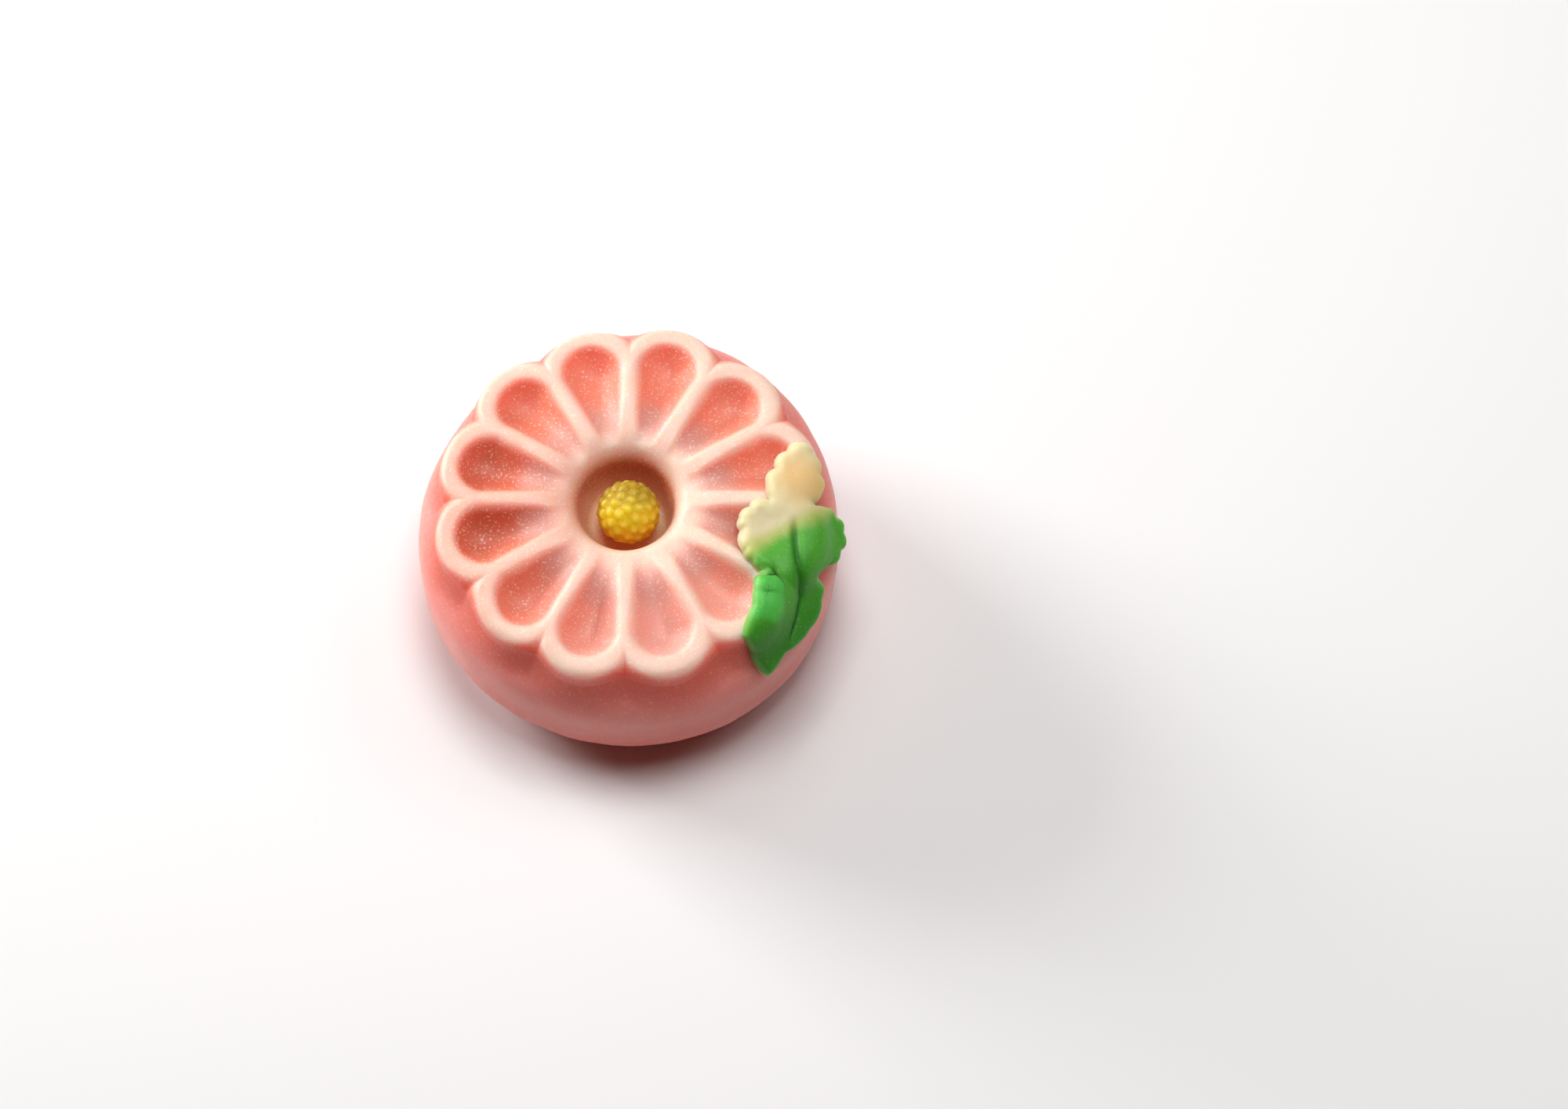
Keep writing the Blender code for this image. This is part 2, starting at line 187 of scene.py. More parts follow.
def hollow_share(radius, turn):
    """How far down a petal's drop-shaped hollow a point lies: 1 on its floor, falling to 0 past its lip."""
    number, along, across = petal_places(radius, turn)
    length = HOLLOW_END - HOLLOW_START
    up = along - HOLLOW_REACH[number] - HOLLOW_START
    run = np.clip(up / length, 0.0, 1.0)
    reach = HOLLOW_START_RADIUS + (HOLLOW_END_RADIUS - HOLLOW_START_RADIUS) * run
    rise = 1.0 - (across ** 2 + (up - run * length) ** 2) / reach ** 2
    return 0.5 * (rise + np.hypot(rise, HOLLOW_LIP))


def hollow_depth(radius, turn):
    """Depth to which the stick has pressed each petal, which grows from the well to the tip."""
    along = petal_places(radius, turn)[1]
    return HOLLOW_DEPTH * hollow_share(radius, turn) * smooth_step(HOLLOW_FADE_START, HOLLOW_END, along)


def crest_height(radius):
    """Height of the ridges between petals, which fall to the well and to the tips."""
    inner = np.minimum(radius - CREST_RADIUS, 0.0)
    outer = np.maximum(radius - CREST_RADIUS, 0.0)
    return CREST_Z + CREST_LIFT - CREST_FALL_IN * inner ** 2 - CREST_FALL_OUT * outer ** 3


def skin_height(radius, turn, spread):
    """Height of the pressed cream top, its rolled edge and the slope from there to the shoulder."""
    foot = bun_top(radius, turn)
    inside = edge_distance(radius, turn)
    top = np.maximum(crest_height(radius) - hollow_depth(radius, turn), foot + SHEET_LEAST)
    edge_base = np.minimum(foot + EDGE_FOOT, top)
    past_edge = np.clip(1.0 - inside / edge_roll(turn), 0.0, 1.0)
    power = edge_power(turn)
    past_lip = np.clip(1.0 - (radius - WELL_LIP_RADIUS) / WELL_LIP_ROLL, 0.0, 1.0)
    sheet = edge_base + (top - edge_base) * (1.0 - past_edge ** power) ** (1.0 / power)
    sheet = sheet - WELL_LIP_ROLL * (1.0 - np.sqrt(1.0 - past_lip ** 2))
    near = np.clip(1.0 + inside / spread, 0.0, 1.0)
    slope = foot + EDGE_FOOT * near ** EDGE_SLOPE_POWER
    return np.where(inside > 0.0, sheet, slope)


def outline_radius(turn):
    """Radius of the scalloped edge at each angle, found by halving."""
    low = np.full_like(turn, HOLLOW_END)
    high = np.full_like(turn, BUN_RADIUS)
    for _ in range(30):
        middle = (low + high) / 2.0
        inside = edge_distance(middle, turn) > 0.0
        low = np.where(inside, middle, low)
        high = np.where(inside, high, middle)
    return low


# Each ring of the skin is a radius and a height for every angle, from the well's floor out over the
# petals and the shoulder to the middle of the underside.
turn = np.linspace(-math.pi, math.pi, SKIN_SEGMENTS, endpoint=False)
ones = np.ones_like(turn)
outline = outline_radius(turn)
widest = BUN_RADIUS * bun_swell(turn)
spread = np.minimum(EDGE_SPREAD, EDGE_SPREAD_MOST * (widest - outline))
rings = []
for share in np.linspace(0.06, 1.0, FLOOR_RINGS):
    rings.append(((WELL_FLOOR_RADIUS - WELL_FLOOR_FILLET) * share * ones, WELL_FLOOR_Z * ones))
for angle in np.radians(np.linspace(15.0, 75.0, FILLET_RINGS)):
    rise = WELL_FLOOR_FILLET * (1.0 - math.cos(angle))
    out = WELL_FLOOR_FILLET * math.sin(angle)
    rings.append(((WELL_FLOOR_RADIUS - WELL_FLOOR_FILLET + out) * ones, (WELL_FLOOR_Z + rise) * ones))
lip_height = skin_height(WELL_LIP_RADIUS * ones, turn, spread)
for share in np.linspace(0.0, 1.0, WALL_RINGS, endpoint=False):
    height = WELL_FLOOR_Z + WELL_FLOOR_FILLET + share * (lip_height - WELL_FLOOR_Z - WELL_FLOOR_FILLET)
    radius = WELL_FLOOR_RADIUS + (WELL_LIP_RADIUS - WELL_FLOOR_RADIUS) * share ** WELL_WALL_POWER
    rings.append((radius * ones, height))
well_rings = len(rings)
top_radii = []
for angle in np.radians(np.linspace(0.0, 80.0, LIP_RINGS)):
    top_radii.append(WELL_LIP_RADIUS + WELL_LIP_ROLL * (1.0 - math.cos(angle)) * ones)
lip_end = top_radii[-1]
roll = edge_roll(turn)
for share in np.linspace(0.0, 1.0, PETAL_RINGS + 2)[1:-1]:
    top_radii.append(lip_end + share * (outline - roll - lip_end))
for share in np.linspace(0.0, 0.98, ROLL_RINGS):
    top_radii.append(outline - roll * (1.0 - share) ** edge_power(turn))
for angle in np.radians(np.linspace(8.0, 90.0, SLOPE_RINGS)):
    top_radii.append(outline + spread * (1.0 - math.cos(angle)))
for radius in top_radii:
    rings.append((radius, skin_height(radius, turn, spread)))
shoulder_start = np.arccos(((outline + spread) / widest) ** (BUN_SHOULDER_POWER / 2.0))
for share in np.linspace(1.0, 0.0, SHOULDER_RINGS + 1)[1:] ** SHOULDER_CROWDING:
    angle = shoulder_start * share
    radius = widest * np.cos(angle) ** (2.0 / BUN_SHOULDER_POWER)
    rise = np.sin(angle) ** (2.0 / BUN_SHOULDER_POWER)
    rings.append((radius, BUN_WIDEST_Z + BUN_SHOULDER_RISE * rise))
rest_share = 1.0 - (BUN_REST_RADIUS / BUN_RADIUS) ** BUN_UNDER_POWER
under_reach = BUN_WIDEST_Z / rest_share ** (1.0 / BUN_UNDER_POWER)
for height in np.linspace(BUN_WIDEST_Z, 0.0, UNDER_RINGS + 1)[1:]:
    depth = ((BUN_WIDEST_Z - height) / under_reach) ** BUN_UNDER_POWER
    share = (1.0 - depth) ** (1.0 / BUN_UNDER_POWER)
    rings.append((BUN_RADIUS * share * (1.0 + (bun_swell(turn) - 1.0) * share ** 2), height * ones))
last_radius = rings[-1][0]
for share in UNDERSIDE_SHARES:
    rings.append((last_radius * share, 0.0 * ones))

radii = np.array([ring[0] for ring in rings])
heights = np.array([ring[1] for ring in rings])
turns = np.tile(turn, (len(rings), 1))
on_top = np.zeros(len(rings), bool)
on_top[well_rings:well_rings + len(top_radii)] = True
on_top = np.repeat(on_top[:, None], SKIN_SEGMENTS, axis=1)
along = petal_places(radii, turns)[1]
hollow = hollow_share(radii, turns)
outer_share = smooth_step(*PRESSED_EDGE_RUN, along)
full_edge = PRESSED_EDGE_INNER + (PRESSED_EDGE_OUTER - PRESSED_EDGE_INNER) * outer_share
pressed = smooth_step(PRESSED_EDGE, full_edge, hollow) * smooth_step(PRESSED_START, PRESSED_FULL, along)
pressed = np.where(on_top, pressed, 0.0)
places = np.stack([radii * np.cos(turns), radii * np.sin(turns), heights], axis=-1)
near_well = np.clip((WELL_SHIFT_END - radii) / WELL_SHIFT_RUN, 0.0, 1.0) * (heights > BUN_WIDEST_Z)
places[..., :2] += WELL_SHIFT * near_well[..., None]
places = places.reshape(-1, 3)


def uneven(points, size, amount, seed):
    """Smooth random rise of a surface, with lumps of a size in millimetres."""
    offset = Vector((seed, 2.0 * seed, 3.0 * seed))
    return amount * np.array([noise.noise(Vector(point) / size + offset) for point in points])


def grid_faces(rows, columns):
    """Quads of a grid of points that closes on itself along its rows."""
    quads = []
    for row in range(rows - 1):
        for column in range(columns):
            after = (column + 1) % columns
            start = row * columns
            quads.append((start + column, start + after, start + columns + after, start + columns + column))
    return quads


def smooth_object(name, points, faces):
    """Smooth-shaded object from points in millimetres."""
    mesh = bpy.data.meshes.new(name)
    mesh.from_pydata((np.asarray(points) * MM).tolist(), [], faces)
    mesh.shade_smooth()
    mesh.update()
    obj = bpy.data.objects.new(name, mesh)
    bpy.context.scene.collection.objects.link(obj)
    return obj


def add_values(obj, name, values):
    """Keeps one number for each point of a mesh, for its material to read."""
    attribute = obj.data.attributes.new(name, "FLOAT", "POINT")
    attribute.data.foreach_set("value", np.asarray(values, np.float32).ravel())


# The hand leaves the paste slightly lumpy, least where it rests.
lift = sum(uneven(places, *lump) for lump in LUMPS)
lift *= np.clip(places[:, 2] / LUMPS_FULL_Z, 0.0, 1.0)
outward = places - np.array((0.0, 0.0, LUMPS_CENTRE_Z))
outward /= np.linalg.norm(outward, axis=1)[:, None]
places = places + outward * lift[:, None]

# Two more points close the skin, in the middle of the well's floor and of the underside.
centres = ((WELL_SHIFT[0], WELL_SHIFT[1], WELL_FLOOR_Z), (0.0, 0.0, 0.0))
body_points = np.concatenate([places, centres])
count = len(places)
body_faces = [quad[::-1] for quad in grid_faces(len(rings), SKIN_SEGMENTS)]
for column in range(SKIN_SEGMENTS):
    after = (column + 1) % SKIN_SEGMENTS
    body_faces.append((column, after, count))
    last = count - SKIN_SEGMENTS
    body_faces.append((last + after, last + column, count + 1))
body = smooth_object("flower_body", body_points, body_faces)

# Cream is thick on ridges and rims and thin where pressed. It ends close to each petal's tip, and
# fades into the pink over a longer way in the notches between petals.
CREAM_TIP = np.array((-0.1, 0.4))
CREAM_NOTCH = np.array((0.0, 2.0))
CREAM_NOTCH_SHARPNESS = 3
# How far below the petals' edge the body is redder, in their shade
SHADE_REACH = 2.2
# The stick drags a dull film of cream over the inner half of each hollow's floor. The dull mauve painted
# there is partly that film and partly a painted sheen.
FILM_AND_SHEEN_SHARES = (0.2, 0.7)
FILM_AND_SHEEN_FIRST = 7.5
FILM_AND_SHEEN_START = 11.0
FILM_AND_SHEEN_END = 15.5
# At the left the hollows, and less so the cream, are painted darker, a painted shade, and in front the
# hollows are painted paler, a painted sheen.
LEFT_SHADE_AT = 182.0
FRONT_SHEEN_AT = -72.0
PAINTED_LIGHT_WIDTH = 42.0
in_notch = notch_share(turns)[..., None] ** CREAM_NOTCH_SHARPNESS
cream_range = CREAM_TIP + (CREAM_NOTCH - CREAM_TIP) * in_notch
inside = edge_distance(radii, turns)
cream = np.where(on_top, smooth_step(cream_range[..., 0], cream_range[..., 1], inside), 0.0)
cream[:well_rings] = 1.0
add_values(body, "cream", np.append(cream, (1.0, 0.0)))
add_values(body, "pressed", np.append(pressed, (0.0, 0.0)))
# Mask of the dull mauve on the inner hollow floors, partly cream film and partly painted sheen
film_and_sheen = smooth_step(*FILM_AND_SHEEN_SHARES, hollow) * smooth_step(FILM_AND_SHEEN_END, FILM_AND_SHEEN_START, along)
film_and_sheen = np.where(on_top, film_and_sheen * smooth_step(FILM_AND_SHEEN_FIRST, FILM_AND_SHEEN_START, radii), 0.0)
add_values(body, "film_and_sheen", np.append(film_and_sheen, (0.0, 0.0)))
# Masks of the painted shade at the left and of the painted sheen in front
for name, middle in (("left_painted_shade", LEFT_SHADE_AT), ("front_painted_sheen", FRONT_SHEEN_AT)):
    away = (np.degrees(turns) - middle + 180.0) % 360.0 - 180.0
    add_values(body, name, np.append(np.exp(-(away / PAINTED_LIGHT_WIDTH) ** 2), (0.0, 0.0)))
in_well = (radii < WELL_LIP_RADIUS + WELL_LIP_ROLL) & (heights > BUN_WIDEST_Z)
depth = np.where(in_well, (CREST_Z - heights) / (CREST_Z - WELL_FLOOR_Z), 0.0)
add_values(body, "well_depth", np.append(depth, (1.0, 0.0)))
shade = smooth_step(-SHADE_REACH, 0.0, inside)
add_values(body, "shade", np.append(np.where(heights > BUN_WIDEST_Z, shade, 0.0), (0.0, 0.0)))


def add_node(tree, kind, inputs=(), **settings):
    """Adds a node with its settings. Each input is a plain value or the output it is linked from."""
    node = tree.nodes.new(kind)
    for name, value in settings.items():
        setattr(node, name, value)
    for name, value in dict(inputs).items():
        if isinstance(value, bpy.types.NodeSocket):
            tree.links.new(value, node.inputs[name])
        else:
            node.inputs[name].default_value = value
    return node


def linear(code):
    """Linear colour, with full alpha, of an sRGB hex value."""
    colour = []
    for place in (0, 2, 4):
        part = int(code[place:place + 2], 16) / 255.0
        colour.append(part / 12.92 if part <= 0.04045 else ((part + 0.055) / 1.055) ** 2.4)
    return (*colour, 1.0)


def new_material(name):
    """Empty node material and its output node."""
    material = bpy.data.materials.new(name)
    material.use_nodes = True
    material.node_tree.nodes.clear()
    return material.node_tree, add_node(material.node_tree, "ShaderNodeOutputMaterial"), material


def mixed(tree, factor, first, second):
    """Colour between two colours."""
    inputs = {0: factor, 6: first, 7: second}
    return add_node(tree, "ShaderNodeMix", inputs, data_type="RGBA").outputs[2]


def ranged(tree, value, start, end, low=0.0, high=1.0):
    """Value moved smoothly from one range to another."""
    inputs = {"Value": value, "From Min": start, "From Max": end, "To Min": low, "To Max": high}
    return add_node(tree, "ShaderNodeMapRange", inputs, interpolation_type="SMOOTHSTEP").outputs["Result"]


def kept_value(tree, name):
    """Number kept under a name for each point of the mesh."""
    return add_node(tree, "ShaderNodeAttribute", attribute_name=name).outputs["Fac"]


def fine_noise(tree, place, size, detail):
    """Smooth random pattern with a size in millimetres."""
    inputs = {"Vector": place, "Scale": 1.0 / (size * MM), "Detail": detail}
    return add_node(tree, "ShaderNodeTexNoise", inputs).outputs["Fac"]


def bumped(tree, height, strength, distance):
    """Facing of a surface whose pattern stands out by a distance in millimetres."""
    inputs = {"Height": height, "Strength": strength, "Distance": distance * MM}
    return add_node(tree, "ShaderNodeBump", inputs).outputs["Normal"]


# Kneaded bean paste: fine boiled beans leave grains of about a quarter of a millimetre that catch
# the light, and light goes a millimetre or two into the paste, so shaded hollows glow coral.
GRAIN_SIZE = 0.28
MOTTLE_SIZE = 2.5
# Heights over which the redder foot, a painted shade, gives way to the pink body
FOOT_SHADE_FADE = (2.0, 15.0)
tree, output, paste = new_material("kneaded_bean_paste_pink_and_cream")
place = add_node(tree, "ShaderNodeTexCoord").outputs["Object"]
grain = fine_noise(tree, place, GRAIN_SIZE, 2.0)
mottle = fine_noise(tree, place, MOTTLE_SIZE, 3.0)
cream_share = kept_value(tree, "cream")
well_depth = kept_value(tree, "well_depth")
left_painted_shade = kept_value(tree, "left_painted_shade")
height = add_node(tree, "ShaderNodeSeparateXYZ", {0: place}).outputs["Z"]
pink = mixed(tree, mottle, linear("F2968C"), linear("F49F96"))
# The foot is painted a redder pink, a painted shade
foot_shade_share = ranged(tree, height, FOOT_SHADE_FADE[0] * MM, FOOT_SHADE_FADE[1] * MM)
pink = mixed(tree, foot_shade_share, linear("E66C5E"), pink)
pink = mixed(tree, kept_value(tree, "shade"), pink, linear("E86E58"))
thin = mixed(tree, mottle, linear("F39279"), linear("F59C86"))
# Painted shade on the left hollows and cream, painted sheen on the front hollows
thin = mixed(tree, left_painted_shade, thin, linear("D87054"))
thin = mixed(tree, kept_value(tree, "front_painted_sheen"), thin, linear("F8B2A4"))
thick = mixed(tree, mottle, linear("FBCDBA"), linear("FCD8CA"))
thick = mixed(tree, ranged(tree, left_painted_shade, 0.0, 1.0, 0.0, 0.4), thick, linear("EBAE9A"))
sheet = mixed(tree, kept_value(tree, "pressed"), thick, thin)
# Dull mauve on the inner floors, partly cream film and partly painted sheen
film_and_sheen_share = ranged(tree, kept_value(tree, "film_and_sheen"), 0.0, 1.0, 0.0, 0.7)
sheet = mixed(tree, film_and_sheen_share, sheet, linear("DDA196"))
# The well is painted a deeper orange below its lip, a painted shade, and paler again towards its floor, a
# painted light.
well = mixed(tree, ranged(tree, well_depth, 0.4, 1.0), linear("E2885C"), linear("F0B28E"))
sheet = mixed(tree, ranged(tree, well_depth, 0.12, 0.5), sheet, well)
colour = mixed(tree, cream_share, pink, sheet)
sparkle_most = ranged(tree, cream_share, 0.0, 1.0, 0.18, 0.45)
sparkle = ranged(tree, grain, 0.56, 0.70, 0.0, sparkle_most)
colour = mixed(tree, sparkle, colour, linear("FFF4EA"))
surface = add_node(tree, "ShaderNodeBsdfPrincipled", {
    "Base Color": colour,
    "Roughness": 0.5,
    "IOR": 1.5,
    "Specular IOR Level": 0.6,
    "Sheen Weight": 0.12,
    "Sheen Roughness": 0.4,
    "Subsurface Weight": 1.0,
    "Subsurface Radius": (1.0, 0.14, 0.08),
    "Subsurface Scale": 4.5 * MM,
    "Normal": bumped(tree, grain, 0.6, 0.05),
})
tree.links.new(surface.outputs[0], output.inputs["Surface"])
body.data.materials.append(paste)
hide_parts("bun", "petal_layer")
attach(body, "root")

# Stamen ball
# A ball of yellow paste pushed through a sieve, so that its surface stands in small round seeds. It
# is dropped into the well and held there by its own stickiness.

BALL_RADIUS = 3.85
BALL_CENTRE_Z = 19.45
BALL_SEEDS = 88
BALL_SEED_HEIGHT = 0.3
BALL_SEED_REACH = 1.1
BALL_LUMP = (0.35, 0.03, 5.0)
BALL_SUBDIVISIONS = 7
# Places from front to back over which the ball is painted darker towards its back, a painted shade
BACK_SHADE_FADE = (-2.2, 1.8)

seeds = []
for index in range(BALL_SEEDS):
    level = 1.0 - 2.0 * (index + 0.5) / BALL_SEEDS
    spin = index * math.pi * (3.0 - math.sqrt(5.0))
    ring = math.sqrt(1.0 - level * level)
    seeds.append((ring * math.cos(spin), ring * math.sin(spin), level))
seeds = np.array(seeds)
bpy.ops.mesh.primitive_ico_sphere_add(subdivisions=BALL_SUBDIVISIONS, radius=1.0)
ball_source = bpy.context.object
facing = np.array([vertex.co.normalized() for vertex in ball_source.data.vertices])
ball_faces = [tuple(face.vertices) for face in ball_source.data.polygons]
bpy.data.objects.remove(ball_source)
nearest = np.full(len(facing), np.inf)
for seed in seeds:
    nearest = np.minimum(nearest, np.linalg.norm(facing - seed, axis=1))
raised = 1.0 - smooth_step(0.0, BALL_SEED_REACH, nearest * BALL_RADIUS)
ball_places = facing * (BALL_RADIUS - BALL_SEED_HEIGHT * (1.0 - raised))[:, None]
ball_places += facing * uneven(ball_places, *BALL_LUMP)[:, None]
ball = smooth_object("stamen_ball", ball_places + np.array((0.0, 0.0, BALL_CENTRE_Z)), ball_faces)
add_values(ball, "raised", raised)

# Sieved bean paste with gardenia yellow. The seed tops are painted paler and the creases between them a
# deeper gold, a painted light and shade, and the back is painted a dull olive, a painted shade.
tree, output, yellow_paste = new_material("sieved_bean_paste_yellow")
place = add_node(tree, "ShaderNodeTexCoord").outputs["Object"]
grain = fine_noise(tree, place, GRAIN_SIZE, 2.0)
# Seed tops painted paler and creases a deeper gold: painted light and shade
seed_light_and_shade = ranged(tree, kept_value(tree, "raised"), 0.5, 1.0)
colour = mixed(tree, seed_light_and_shade, linear("ECCC30"), linear("F2DA54"))
# The back of the ball is painted a dull olive, a painted shade
towards_back = add_node(tree, "ShaderNodeSeparateXYZ", {0: place}).outputs["Y"]
back_shade = ranged(tree, towards_back, BACK_SHADE_FADE[0] * MM, BACK_SHADE_FADE[1] * MM, 0.0, 0.9)
colour = mixed(tree, back_shade, colour, linear("A8882C"))
sparkle = ranged(tree, grain, 0.55, 0.75, 0.0, 0.3)
colour = mixed(tree, sparkle, colour, linear("FFF0A0"))
surface = add_node(tree, "ShaderNodeBsdfPrincipled", {
    "Base Color": colour,
    "Roughness": 0.45,
    "IOR": 1.42,
    "Subsurface Weight": 1.0,
    "Subsurface Radius": (0.6, 0.9, 0.25),
    "Subsurface Scale": 4.5 * MM,
    "Normal": bumped(tree, grain, 0.4, 0.04),
})
tree.links.new(surface.outputs[0], output.inputs["Surface"])
ball.data.materials.append(yellow_paste)
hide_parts("stamen_ball")
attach(ball, "root")

# Leaf
# Green and cream paste are pressed together and rolled into one thin sheet, and the leaf is cut from
# it with a chrysanthemum-leaf cutter. Its vein is pressed in, and it is laid over the shoulder, where
# it settles onto the petals by its own weight.

LEAF_AZIMUTH = -45.0
LEAF_TILT = 62.0
LEAF_MIDDLE = np.array((11.0, 2.5))
LEAF_THICKNESS = 1.4
LEAF_EDGE = 0.25
LEAF_ROUNDING = 1.2
LEAF_LUMP = (1.2, 0.05, 7.0)
LEAF_RIM_STEP = 0.16
LEAF_POINT_STEP = 0.2
LEAF_ROW_SHARE = 0.866
LEAF_COLUMNS = 50
LEAF_ROWS = 95
LEAF_GAP = 0.15
LEAF_RAY_START = 60.0
LEAF_FILLING = 200
LEAF_SOFTENING = 40
LEAF_RESTING = 15
# The vein's line, from its upper end to its foot
VEIN = np.array(((-0.6, 5.0), (-0.5, 1.9), (-0.4, -1.7), (0.1, -4.2), (0.2, -6.8), (-0.1, -10.4)))
VEIN_FADE_TOP = 3.0
VEIN_FADE_FOOT = 2.5
VEIN_DEPTH = 0.5
VEIN_WIDTH = 0.38
VEIN_SHADE_WIDTH = 1.1
VEIN_SHADE_FULL = -1.0
STEP_HEIGHT = 0.75
STEP_TOP = -3.5
STEP_RUN = 0.7
STEP_SIDE = -2.3
STEP_SIDE_RUN = 1.3
STEP_FADE_START = -6.0
STEP_FADE_END = -10.5
DIMPLE_PLACE = (-4.2, -4.9)
DIMPLE_DEPTH = 0.4
DIMPLE_REACH = 0.9
DIMPLE_SHADE = 0.35
RECESS_PLACE = (-3.1, -2.6)
RECESS_DEPTH = 0.7
RECESS_REACH = 0.9
TAN_PLACE = (0.4, 8.8)
TAN_REACH = 3.6
PALE_FOOT = -9.0
PALE_RUN = 1.6
# Where the green begins, on a slanting line that wanders, and where it turns deeper below it
GREEN_LINE = 3.9
GREEN_LINE_SLOPE = 0.75
GREEN_BLEND = 2.0
GREEN_WANDER = 1.6
DEEP_GREEN_RANGE = (6.0, 13.0)
RIM_PALENESS_WIDTH = 0.7
# Each lobe: how far its scallops bulge, as a share of their width, and the cusps between them
LEAF_LOBES = (
    (0.07, ((-1.1, -14.2), (0.4, -11.4), (3.2, -8.2), (4.3, -6.2), (4.3, -4.4), (4.3, -2.7), (2.6, -1.5))),
    (0.28, ((2.6, -1.5), (4.4, -0.2), (6.1, 1.7), (6.4, 4.0), (4.9, 5.8), (3.4, 6.6), (1.5, 6.3))),
    (0.20, ((1.5, 6.3), (2.9, 8.3), (2.4, 10.3), (1.5, 12.8), (0.0, 14.1), (-1.7, 12.8), (-3.1, 10.4),
            (-4.1, 8.4), (-3.7, 6.5))),
    (0.17, ((-3.7, 6.5), (-4.9, 6.5), (-5.9, 5.4), (-7.0, 3.8), (-6.8, 2.3), (-6.5, -0.2), (-5.7, -1.3),
            (-4.6, -2.3))),
    (0.04, ((-4.6, -2.3), (-5.6, -3.3), (-5.7, -6.4), (-6.4, -10.1), (-4.5, -11.7), (-3.5, -13.0),
            (-1.6, -14.3), (-1.1, -14.2))),
)
LEAF_SINUS_BULGE = 0.4


def leaf_outline(step):
    """Closed line of points round the leaf, about one step apart, anticlockwise from its tip."""
    points = []
    for bulge, cusps in LEAF_LOBES:
        for index in range(len(cusps) - 1):
            start = np.array(cusps[index])
            chord = np.array(cusps[index + 1]) - start
            share = bulge * (LEAF_SINUS_BULGE if index in (0, len(cusps) - 2) else 1.0)
            outward = np.array((chord[1], -chord[0])) * share
            pieces = max(round(np.linalg.norm(chord) * (1.0 + 2.0 * share) / step), 1)
            for place in np.arange(pieces) / pieces:
                points.append(start + chord * place + outward * 4.0 * place * (1.0 - place))
    return np.array(points)


def line_distance(points, line):
    """Distance of each point from a line of joined points."""
    best = np.full(len(points), np.inf)
    for start, end in zip(line[:-1], line[1:]):
        step = end - start
        share = np.clip((points - start) @ step / (step @ step), 0.0, 1.0)
        best = np.minimum(best, np.linalg.norm(points - start - share[:, None] * step, axis=1))
    return best


def is_inside(points, line):
    """Whether each point lies within a closed line."""
    inside = np.zeros(len(points), bool)
    for start, end in zip(line[:-1], line[1:]):
        spans = (start[1] > points[:, 1]) != (end[1] > points[:, 1])
        if spans.any():
            crossed = start[0] + (points[:, 1] - start[1]) / (end[1] - start[1]) * (end[0] - start[0])
            inside ^= spans & (points[:, 0] < crossed)
    return inside


# The leaf is cut from an even grid of points, and only the triangles inside its rim are kept.
rim = leaf_outline(LEAF_RIM_STEP)
closed_rim = np.concatenate([rim, rim[:1]])
columns, rows = np.meshgrid(np.arange(-LEAF_COLUMNS, LEAF_COLUMNS), np.arange(-LEAF_ROWS, LEAF_ROWS))
columns = columns + 0.5 * (rows % 2)
grid = np.stack([columns * LEAF_POINT_STEP, rows * LEAF_POINT_STEP * LEAF_ROW_SHARE], axis=-1)
grid = grid.reshape(-1, 2)
grid = grid[is_inside(grid, closed_rim)]
grid = grid[line_distance(grid, closed_rim) > 0.5 * LEAF_POINT_STEP]
rim_edges = [(index, (index + 1) % len(rim)) for index in range(len(rim))]
cut_points = [Vector(point) for point in np.concatenate([rim, grid])]
cut_points, _, triangles, *_ = delaunay_2d_cdt(cut_points, rim_edges, [], 1, 0.0001)
leaf_flat = np.array([tuple(point) for point in cut_points])

tilt, azimuth = math.radians(LEAF_TILT), math.radians(LEAF_AZIMUTH)
normal = np.array((math.cos(tilt) * math.cos(azimuth), math.cos(tilt) * math.sin(azimuth), math.sin(tilt)))
along_axis = np.array((0.0, 1.0, 0.0)) - normal * normal[1]
along_axis /= np.linalg.norm(along_axis)
across_axis = np.cross(along_axis, normal)


def leaf_places(heights):
    """Places in space of the leaf's points, raised to heights along the leaf's normal."""
    flat_places = leaf_flat + LEAF_MIDDLE
    return flat_places[:, :1] * across_axis + flat_places[:, 1:] * along_axis + heights[:, None] * normal


def heights_along(shape, start_height, direction):
    """Height at which a ray from each leaf point first meets a surface, or nan where it meets none."""
    heights = np.full(len(leaf_flat), np.nan)
    for index, start in enumerate(leaf_places(np.full(len(leaf_flat), start_height))):
        _, _, _, distance = shape.ray_cast(Vector(start), Vector(normal * direction))
        if distance is not None:
            heights[index] = start_height + direction * distance
    return heights


cad_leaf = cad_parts["leaf"].data
cad_points = [vertex.co / MM for vertex in cad_leaf.vertices]
cad_shape = BVHTree.FromPolygons(cad_points, [tuple(face.vertices) for face in cad_leaf.polygons])
ground = BVHTree.FromPolygons(body_points.tolist(), body_faces)
cad_heights = heights_along(cad_shape, -LEAF_RAY_START, 1.0)
floor_heights = heights_along(ground, LEAF_RAY_START, -1.0) + LEAF_GAP
corners = np.array(triangles)
pairs = np.concatenate([corners[:, (0, 1)], corners[:, (1, 2)], corners[:, (2, 0)]])
pairs = np.concatenate([pairs, pairs[:, ::-1]])
neighbours = np.bincount(pairs[:, 0], minlength=len(leaf_flat))


def beside(values):
    """Mean over each leaf point's neighbours."""
    return np.bincount(pairs[:, 0], weights=values[pairs[:, 1]], minlength=len(leaf_flat)) / neighbours


